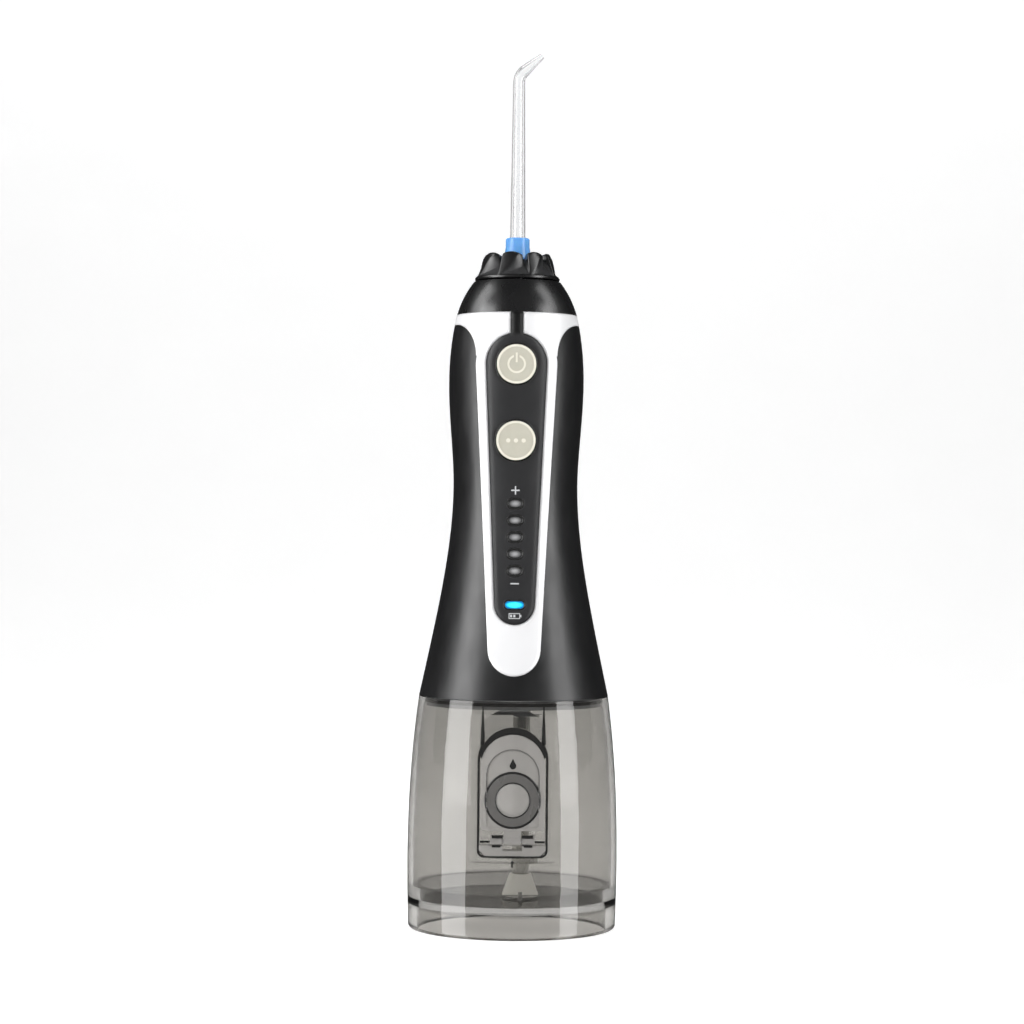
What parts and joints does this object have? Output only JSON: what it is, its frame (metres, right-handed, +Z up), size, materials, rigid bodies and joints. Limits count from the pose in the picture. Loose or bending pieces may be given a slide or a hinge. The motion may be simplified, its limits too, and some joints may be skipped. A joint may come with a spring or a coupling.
{
  "type": "cordless water flosser",
  "caption": "Cordless oral irrigator: clear tank with hinged fill door, waisted black handle with silver front frame, turning dial and pull-out bent jet tip.",
  "frame": {"origin": "centre of the tank's foot ring, on the surface it stands on", "axes": "+Z up along the body, -Y towards the buttons and the fill door, +X to the right of someone facing the buttons; the jet tip bends towards +X"},
  "size_m": [0.0752, 0.065, 0.3139],
  "materials": {
    "smoky_clear": "clear smoky plastic, glossy",
    "smoky_light": "clear smoky plastic, light",
    "dark_rubber": "soft matte silicone",
    "satin_black": "fine satin moulded",
    "gloss_black": "polished moulded",
    "panel_grey": "soft satin",
    "bright_trim": "bright silver plating",
    "beige_cap": "satin with raised rim",
    "grey_window": "milky light guide",
    "blue_window": "lit light guide",
    "tip_clear": "clear polycarbonate",
    "ring_blue": "translucent coloured ring",
    "white_plastic": "plain moulded",
    "grey_plastic": "plain moulded",
    "acetal": "turned acetal",
    "steel": "machined",
    "zinc": "plated can",
    "copper_core": "wound core",
    "brass": "machined",
    "board_green": "solder mask",
    "cell_wrap": "shrink sleeve",
    "clear_hose": "soft translucent hose"
  },
  "bodies": {
    "tank": {"water_tank": "smoky_clear", "lid_hinge_plate": "smoky_light", "lid_hinge_pin": "steel"},
    "lid": {"fill_lid": "smoky_light", "lid_gasket": "dark_rubber"},
    "dial": {"rotation_dial": "gloss_black", "dial_seal": "dark_rubber"},
    "tip": {"jet_tip": "tip_clear", "tip_colour_ring": "ring_blue", "tip_o_ring": "dark_rubber"},
    "power_key": {"power_button": "beige_cap"},
    "mode_key": {"mode_button": "beige_cap"},
    "release_key": {"release_button": "satin_black", "release_latch": "acetal"},
    "charging_flap": {"port_cover": "dark_rubber"},
    "rotor": {"motor_shaft": "steel", "motor_pinion": "brass", "motor_armature": "copper_core"},
    "gear": {"crank_gear": "acetal", "crank_pin": "steel"},
    "rod": {"connecting_rod": "acetal", "wrist_pin": "steel"},
    "plunger": {"piston": "acetal", "piston_seal": "dark_rubber"},
    "handle": {"handle_housing": "satin_black", "trim_frame": "bright_trim", "control_panel": "panel_grey", "top_collar": "gloss_black", "mode_light_windows": "grey_window", "charge_light_window": "blue_window", "button_membrane": "dark_rubber", "circuit_board": "board_green", "tactile_switches": "zinc", "indicator_leds": "white_plastic", "inner_chassis": "grey_plastic", "battery_cell": "cell_wrap", "motor_can": "zinc", "motor_end_cap": "white_plastic", "motor_mount_plate": "grey_plastic", "gear_axle": "steel", "pump_cylinder": "grey_plastic", "cylinder_head": "grey_plastic", "head_gasket": "dark_rubber", "inlet_valve": "dark_rubber", "outlet_valve": "dark_rubber", "pump_bulkhead": "grey_plastic", "tank_seal": "dark_rubber", "suction_pipe": "clear_hose", "suction_strainer": "white_plastic", "delivery_tube": "clear_hose", "nozzle_seat": "white_plastic", "seat_o_ring": "dark_rubber", "dial_retaining_clip": "steel", "charging_socket": "steel", "housing_screws": "steel", "pump_screws": "steel", "motor_screws": "steel"}
  },
  "joints": [
    {"name": "handle_lift", "type": "slide", "parent": "tank", "child": "handle", "axis": [0, 0, 1], "range_m": [0, 0.09]},
    {"name": "lid_hinge", "type": "hinge", "parent": "tank", "child": "lid", "pos_m": [0, -0.0307, 0.0348], "axis": [1, 0, 0], "range_deg": [0, 115]},
    {"name": "dial_spin", "type": "hinge", "parent": "handle", "child": "dial", "pos_m": [0, 0, 0.2314], "axis": [0, 0, 1], "continuous": true},
    {"name": "tip_pull", "type": "slide", "parent": "dial", "child": "tip", "axis": [0, 0, 1], "range_m": [0, 0.035]},
    {"name": "power_press", "type": "slide", "parent": "handle", "child": "power_key", "axis": [0, 1, 0], "range_m": [0, 0.0008], "stiffness_N_per_m": 900},
    {"name": "mode_press", "type": "slide", "parent": "handle", "child": "mode_key", "axis": [0, 1, 0], "range_m": [0, 0.0008], "stiffness_N_per_m": 900},
    {"name": "release_press", "type": "slide", "parent": "handle", "child": "release_key", "axis": [0, -1, 0], "range_m": [0, 0.0015], "stiffness_N_per_m": 900},
    {"name": "flap_hinge", "type": "hinge", "parent": "handle", "child": "charging_flap", "pos_m": [0, 0.0277, 0.0955], "axis": [-1, 0, 0], "range_deg": [0, 100]},
    {"name": "gear_spin", "type": "hinge", "parent": "handle", "child": "gear", "pos_m": [-0.01259, 0, 0.0995], "axis": [0, 0, 1], "continuous": true},
    {"name": "rotor_spin", "type": "hinge", "parent": "handle", "child": "rotor", "pos_m": [0, 0.005, 0.0995], "axis": [0, 0, 1], "continuous": true},
    {"name": "rod_turn", "type": "hinge", "parent": "gear", "child": "rod", "pos_m": [-0.01039, 0, 0.0928], "axis": [0, 0, 1], "continuous": true},
    {"name": "piston_stroke", "type": "slide", "parent": "handle", "child": "plunger", "axis": [1, 0, 0], "range_m": [-0.0044, 0]}
  ],
  "couplings": [
    {"joint": "rotor_spin", "follows": "gear_spin", "ratio": -4},
    {"joint": "rod_turn", "follows": "gear_spin", "ratio": -1}
  ]
}
